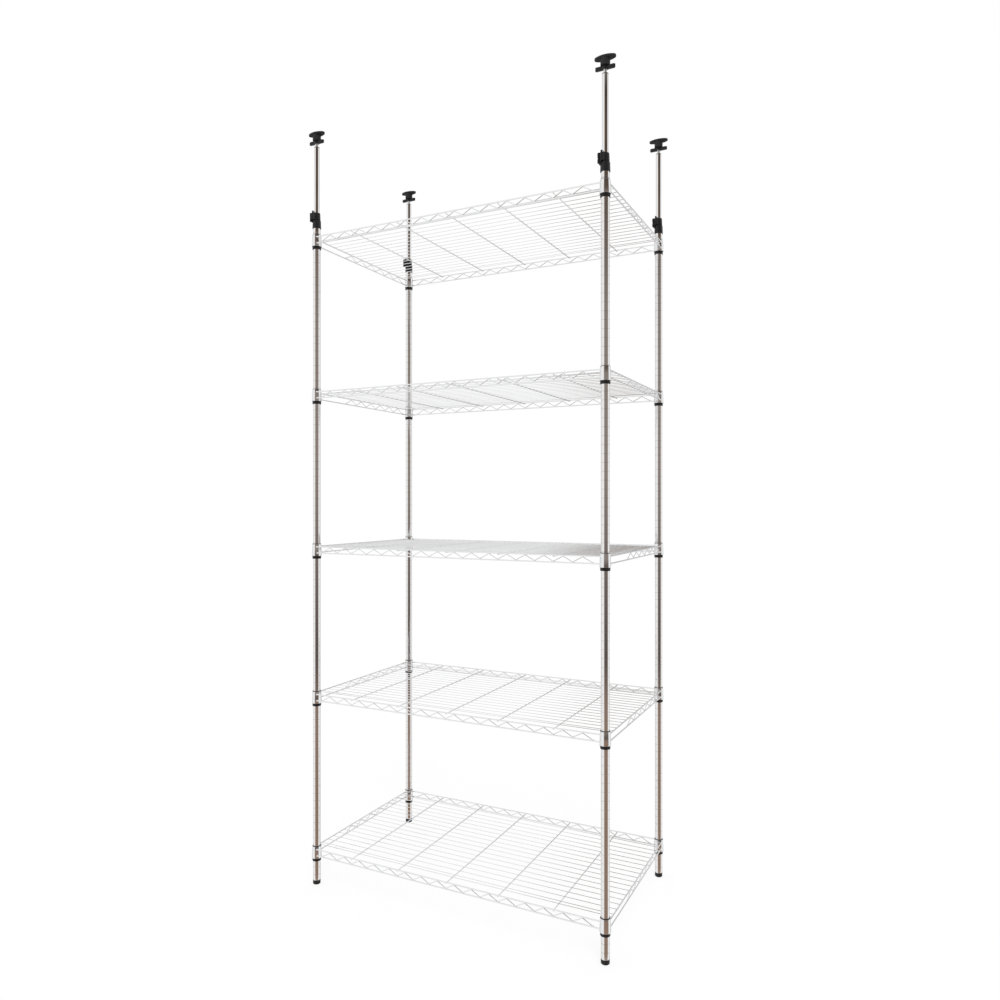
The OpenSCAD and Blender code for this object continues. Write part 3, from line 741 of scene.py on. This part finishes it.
def lockHousing():
    # sleeve all round, a thin web behind the slot,
    # and the clamp turned from one side of the slit to the other
    sleeve = lathed(softened([
        (lock["socket"], 0), (lock["bottomRadius"], 0), (lock["sleeveTopRadius"], lock["sleeve"]),
        (lock["clampRadius"], lock["sleeve"] + lock["shoulder"]), (lock["clampRadius"], lock["slotLow"]),
        (lock["bore"], lock["slotLow"]), (lock["bore"], lock["sleeve"]), (lock["socket"], lock["sleeve"]),
    ], lock["sleeveRounds"]), columns=56)
    webRadius = lock["clampRadius"] - lock["webInset"]
    webLow, webHigh = lock["slotLow"] - lock["webOverlap"], lock["slotHigh"] + lock["webOverlap"]
    webWall = [(lock["bore"], webLow), (webRadius, webLow), (webRadius, webHigh), (lock["bore"], webHigh)]
    web = lathed(webWall, columns=30, start=lock["webFrom"], turn=lock["webTurn"])
    slitAt = math.degrees(math.atan2(lock["slitY"], lock["slitX"]))
    clamp = lathed(softened([
        (lock["bore"], lock["slotHigh"]), (lock["clampRadius"], lock["slotHigh"]),
        (lock["topRadius"], lock["height"]), (lock["bore"], lock["height"]),
    ], lock["clampRounds"]), columns=56, start=slitAt + lock["slitTurn"] / 2, turn=360 - lock["slitTurn"])
    return joined(sleeve, web, clamp, lockEarLeft(), lockEarRight())


lever = {
    "pinX": -14.9, "low": 23.55, "high": 52.05, "gripIn": 15.1, "gripOut": 18.6, "gripFrom": 150,
    "gripTo": 200, "rootX": -4.9, "rootY": 1.6, "knuckle": 3.6, "knuckleFrom": 190, "knuckleTo": 400,
    "eyeHalf": 2.9, "eyeRadius": 4.2, "eyeFrom": 158, "eyeTo": 82, "overlap": 0.8, "edge": 0.7,
    "middleEdge": 0.05,
}


def lockLever():
    # a curved grip, and a knuckle round the pin that is cut away where the bolt's eye turns
    pin = (lever["pinX"], lock["boltY"])
    grip = arc((0, 0), lever["gripOut"], lever["gripFrom"], lever["gripTo"], steps=14)
    inside = arc((0, 0), lever["gripIn"], lever["gripTo"], lever["gripFrom"], steps=12)
    root = [(pin[0] + lever["rootX"], pin[1] + lever["rootY"])]
    knuckle = arc(pin, lever["knuckle"], lever["knuckleFrom"], lever["knuckleTo"], steps=16)
    cut = arc(pin, lever["eyeRadius"], lever["eyeFrom"], lever["eyeTo"], steps=8)
    whole = np.concatenate([grip, root, knuckle, inside])
    middle = np.concatenate([grip, cut, inside])
    eyeLow, eyeHigh = lock["boltZ"] - lever["eyeHalf"], lock["boltZ"] + lever["eyeHalf"]
    middleLow, middleHigh = eyeLow - lever["overlap"], eyeHigh + lever["overlap"]
    return joined(pillar(whole, lever["low"], eyeLow, lever["edge"]),
                  pillar(whole, eyeHigh, lever["high"], lever["edge"]),
                  pillar(middle, middleLow, middleHigh, lever["middleEdge"]))


bolt = {
    "radius": 1.6, "eye": 3.4, "eyeHalf": 2.6, "eyePlay": 0.05, "end": 3.3, "nutFrom": 0.75, "nutTo": 3.25,
    "nutRadius": 3.1, "nutChamfer": 0.3, "nutEnd": 0.9, "pin": 1.5, "pinLow": 24.55, "pinHigh": 51.05,
}


def lockBolt():
    # shank along x with its eye, and a hexagon nut with chamfered corners
    shank = rod((lever["pinX"], 0, 0), (bolt["end"], 0, 0), bolt["radius"], columns=20)
    eye = ringTube(bolt["eye"], bolt["pin"] + bolt["eyePlay"], -bolt["eyeHalf"], bolt["eyeHalf"])
    a = (np.arange(6) * math.pi / 3)[None]
    r = bolt["nutRadius"] * np.array([bolt["nutEnd"], 1, 1, bolt["nutEnd"]])[:, None]
    x = np.array([bolt["nutFrom"], bolt["nutFrom"] + bolt["nutChamfer"],
                  bolt["nutTo"] - bolt["nutChamfer"], bolt["nutTo"]])[:, None]
    nut = woven(np.stack([x + 0 * a, r * np.cos(a), r * np.sin(a)], -1), capped=True)
    return moved(joined(shank, moved(eye, (lever["pinX"], 0, 0)), nut), (0, lock["boltY"], lock["boltZ"]))


# Ceiling jacks

wing = {"half": 25, "width": 5, "boss": 8.5, "edge": 1.1, "power": 10, "crowding": 0.42, "tipFrom": 0.97}


def wingHandle(low, high):
    # outline by angle, more of its points near the tips: the boss radius and the reach of a bar
    # with round ends, joined by a tenth-power mean
    t = ringAngles(120)
    a = t - wing["crowding"] * np.sin(2 * t)
    across, along = np.abs(np.sin(a)), np.abs(np.cos(a))
    bar = wing["width"] / np.maximum(across, 1e-6)
    tip = wing["half"] * along + np.sqrt(np.maximum(wing["width"] ** 2 - (wing["half"] * across) ** 2, 0))
    reach = np.where(bar * along <= wing["half"], bar, tip)
    reach = (reach ** wing["power"] + wing["boss"] ** wing["power"]) ** (1 / wing["power"])
    reach *= np.where(along > wing["tipFrom"], np.minimum(1, (wing["half"] + wing["width"]) / reach), 1)
    return pillar(np.column_stack([reach * np.cos(a), reach * np.sin(a)]), low, high, wing["edge"], steps=4)


pad = {
    "hubLow": 14, "hubHigh": 14.2, "hubSink": 0.5, "hubRounds": (1, 0.1), "half": 32.2, "halfWidth": 15,
    "end": 9, "thick": 6, "edge": 1, "recessAt": 19.1, "recess": 10, "recessDepth": 1.2, "recessSlope": 0.9,
    "underFrom": 0.02, "underTo": 0.999, "underRings": 44,
}


def ceilingPad(low, high):
    # a hub below an oval of four arcs that touch smoothly: the side arcs' radius R has its centre
    # as far below the middle as R less the half width, and as far from an end arc's centre as R less
    # the end's radius; the underside is the outline scaled towards the middle, raised within two circles
    under = high - pad["thick"]
    hubTop = under + pad["hubSink"]
    hub = turnedSolid([
        (axisRadius, low), (pad["hubLow"], low), (pad["hubHigh"], hubTop), (axisRadius, hubTop),
    ], pad["hubRounds"], columns=48)
    endX, r = pad["half"] - pad["end"], pad["end"]
    sideR = (endX ** 2 + pad["halfWidth"] ** 2 - r ** 2) / (2 * (pad["halfWidth"] - r))
    sideY = sideR - pad["halfWidth"]
    meet = math.degrees(math.atan2(sideY, endX))
    outline = np.concatenate([
        arc((endX, 0), r, -meet, meet, steps=16)[:-1],
        arc((0, -sideY), sideR, meet, 180 - meet, steps=20)[:-1],
        arc((-endX, 0), r, 180 - meet, 180 + meet, steps=16)[:-1],
        arc((0, sideY), sideR, 180 + meet, 360 - meet, steps=20)[:-1],
    ])
    slab = slabRings(outline, under, high, pad["edge"] * rimIn, pad["edge"] * rimAlong)
    scale = np.linspace(pad["underFrom"], pad["underTo"], pad["underRings"])[:, None, None]
    flat = slab[0][None, :, :2] * scale
    distance = np.hypot(np.abs(flat[..., 0]) - pad["recessAt"], flat[..., 1])
    rise = pad["recessDepth"] * np.clip((pad["recess"] - distance) / pad["recessSlope"] + 0.5, 0, 1)
    floor = np.concatenate([flat, (under + rise)[..., None]], -1)
    return joined(hub, woven(np.concatenate([floor, slab]), capped=True))


# The pieces of each corner


def heights(start, corner):
    return [values[2] for values in nodeBox(start + "_" + corner)]


def cornerPiece(start, corner, surface, body, slotName):
    # a piece moved to its post's axis; it stands for the node with its own name in small letters
    signX, signY = corners[corner]
    node = "".join("_" + letter.lower() if letter.isupper() else letter for letter in start) + "_" + corner
    name = start + "".join(word.capitalize() for word in corner.split("_"))
    makePiece(name, moved(surface, (signX * postX, signY * postY, 0)), body, node, slotName)


for corner in corners:
    lockLow = heights("lock_housing", corner)[0]
    poleLow, poleTop = heights("inner_pole", corner)
    tube = ringTube(innerPole["radius"], innerPole["bore"], poleLow, poleTop)
    thread = threaded(screw["radius"], screw["depth"], screw["pitch"], *heights("jack_screw", corner))
    # surface, body that it rides on and material slot of each piece
    cornerPieces = {
        "post": (postTube(*heights("post", corner)), "root", "post_chrome"),
        "innerPole": (tube, "pole_" + corner, "pole_chrome"),
        "polePlug": (polePlug(*heights("pole_plug", corner), poleTop), "pole_" + corner, "jack_plastic"),
        "footBase": (footCup(*heights("foot_base", corner)), "foot_" + corner, "foot_rubber"),
        "footStem": (footStem(*heights("foot_stem", corner)), "stem_" + corner, "zinc_steel"),
        "lockHousing": (moved(lockHousing(), (0, 0, lockLow)), "root", "lock_plastic"),
        "lockLever": (moved(lockLever(), (0, 0, lockLow)), "lever_" + corner, "lock_plastic"),
        "jackScrew": (thread, "handle_" + corner, "screw_chrome"),
        "jackHandle": (wingHandle(*heights("jack_handle", corner)), "handle_" + corner, "jack_plastic"),
        "ceilingPad": (ceilingPad(*heights("ceiling_pad", corner)), "pad_" + corner, "pad_rubber"),
    }
    for start, (surface, body, slotName) in cornerPieces.items():
        cornerPiece(start, corner, surface, body, slotName)
print("posts, locks, poles, jacks and feet made")

lockPlaces = axes + (0, 0, nodeBox("lock_housing_front_left")[0][2])
pinFoot, pinHead = ((lever["pinX"], lock["boltY"], bolt[end]) for end in ("pinLow", "pinHigh"))
pin = rod(pinFoot, pinHead, bolt["pin"], columns=20)
guideLow, guideHigh = (values[2] for values in nodeBox("pole_guides"))
insertLow, insertHigh = (values[2] for values in nodeBox("foot_inserts"))
guides = copied(ringTube(guide["radius"], guide["bore"], guideLow, guideHigh), axes)
inserts = copied(ringTube(insert["radius"], insert["bore"], insertLow, insertHigh), axes)
makePiece("lockBolts", copied(lockBolt(), lockPlaces), "root", "lock_bolts", "black_steel")
makePiece("lockPins", copied(pin, lockPlaces), "root", "lock_pins", "black_steel")
makePiece("poleGuides", guides, "root", "pole_guides", "inner_plastic")
makePiece("footInserts", inserts, "root", "foot_inserts", "inner_plastic")

# Camera, floor, room and lamps

camera = {"place": (1.2450, -2.4135, 1.3245), "turn": 26.5, "lens": 28, "sensor": 36, "clipEnd": 100}
cameraData = bpy.data.cameras.new("camera")
cameraData.lens, cameraData.sensor_width = camera["lens"], camera["sensor"]
cameraData.clip_end = camera["clipEnd"]
cameraObject = bpy.data.objects.new("camera", cameraData)
cameraObject.location = camera["place"]
cameraObject.rotation_euler = (math.radians(90), 0, math.radians(camera["turn"]))
bpy.context.scene.collection.objects.link(cameraObject)
bpy.context.scene.camera = cameraObject

floor = {"half": 30, "glow": 0.8, "shade": 0.21, "plain": 0.8}
floorMesh = bpy.data.meshes.new("floor")
floorCorners = [(x * floor["half"], y * floor["half"], 0) for x, y in ((-1, -1), (1, -1), (1, 1), (-1, 1))]
floorMesh.from_pydata(floorCorners, [], [(0, 1, 2, 3)])
floorObject = bpy.data.objects.new("floor", floorMesh)
bpy.context.scene.collection.objects.link(floorObject)
# the camera sees a white floor with soft shades, and the other rays a plain pale one
floorMaterial, finish = newFinish("paleFloor")
soft = finish.node("BsdfDiffuse", {}, {"Color": grey(floor["shade"])})
glow = finish.node("Emission", {}, {"Color": grey(floor["glow"]), "Strength": 1})
plain = finish.node("BsdfDiffuse", {}, {"Color": grey(floor["plain"])})
seen = finish.node("LightPath", output="Is Camera Ray")
both = finish.node("AddShader", {}, {0: soft, 1: glow})
finish.node("OutputMaterial", {}, {"Surface": finish.node("MixShader", {}, {0: seen, 1: plain, 2: both})})
floorMesh.materials.append(floorMaterial)
floorObject.visible_glossy = False

room = {
    # grey levels by direction round the object, in parts of a full turn:
    # 0.5 is towards the camera and 0.75 to its right
    "walls": [(0.0, 0.7), (0.08, 0.72), (0.14, 0.77), (0.22, 0.88), (0.34, 0.93), (0.68, 0.95), (0.8, 0.91),
              (0.87, 0.66), (0.93, 0.54), (1.0, 0.63)],
    # where the dark stripe starts and ends, by the same directions, and how far its right edge
    # leans outwards from the level of the eye to straight up
    "darkFrom": (0.38, 0.42), "darkTo": (0.655, 0.69), "lean": 0.055,
    # colours by height of the direction, from straight down to straight up
    "dark": [(0.0, (0.42, 0.39, 0.37)), (0.2, (0.3, 0.21, 0.16)), (0.33, (0.27, 0.18, 0.13)),
             (0.37, (0.28, 0.2, 0.16)), (0.4, (0.1, 0.08, 0.07)), (0.44, (0.15, 0.12, 0.105)),
             (0.52, (0.28, 0.235, 0.21)), (0.62, (0.25, 0.215, 0.19)), (0.66, (0.16, 0.125, 0.105)),
             (0.69, (0.105, 0.078, 0.06)), (0.705, (0.12, 0.09, 0.07)), (0.725, (0.09, 0.063, 0.046)),
             (0.75, (0.11, 0.08, 0.062)), (0.8, (0.06, 0.044, 0.035)), (0.84, (0.3, 0.28, 0.26)),
             (0.9, (0.9, 0.9, 0.9))],
    "diffuse": 0.8,
}
world = bpy.data.worlds.new("room")
world.use_nodes = True
bpy.context.scene.world = world
sky = Finish(world.node_tree)
direction = sky.node("TexCoord", output="Generated")
split = sky.node("SeparateXYZ", {}, {"Vector": direction})
x, y, z = (Value(sky, split.socket.node.outputs[name]) for name in "XYZ")
yaw = math.radians(camera["turn"])
towards, rightward = x * math.sin(yaw) - y * math.cos(yaw), x * math.cos(yaw) + y * math.sin(yaw)
around = rightward.math("ARCTAN2", towards) / (2 * math.pi) + 0.5
wall = sky.ramp([(at, grey(level)) for at, level in room["walls"]], around)
dark = sky.ramp(room["dark"], z * 0.5 + 0.5)
(outLeft, inLeft), (inRight, outRight) = room["darkFrom"], room["darkTo"]
leaning = around - z.math("MAXIMUM", 0) * room["lean"] * around.math("GREATER_THAN", 0.5)
near = sky.ramp([(outLeft, grey(0)), (inLeft, grey(1)), (inRight, grey(1)), (outRight, grey(0))], leaning)
seenRoom = sky.blend(near, wall, dark)
rays = {name: sky.node("LightPath", output=name) for name in ("Is Camera Ray", "Is Glossy Ray")}
roomLight = sky.node("Background", {}, {"Color": seenRoom, "Strength": 1})
softLight = sky.node("Background", {}, {"Color": grey(1), "Strength": room["diffuse"]})
backdrop = sky.node("Background", {}, {"Color": grey(1), "Strength": 1})
mixed = sky.node("MixShader", {}, {0: rays["Is Glossy Ray"], 1: softLight, 2: roomLight})
mixed = sky.node("MixShader", {}, {0: rays["Is Camera Ray"], 1: mixed, 2: backdrop})
sky.node("OutputWorld", {}, {"Surface": mixed})

sun = {"strength": 0.8, "angle": 25, "tilt": (38, 12, 20)}
sunData = bpy.data.lights.new("softSun", "SUN")
sunData.energy, sunData.angle = sun["strength"], math.radians(sun["angle"])
sunObject = bpy.data.objects.new("softSun", sunData)
sunObject.rotation_euler = [math.radians(part) for part in sun["tilt"]]
sunObject.visible_glossy = False
bpy.context.scene.collection.objects.link(sunObject)
bpy.context.scene.view_settings.view_transform = "Standard"
print("camera, floor and light made")
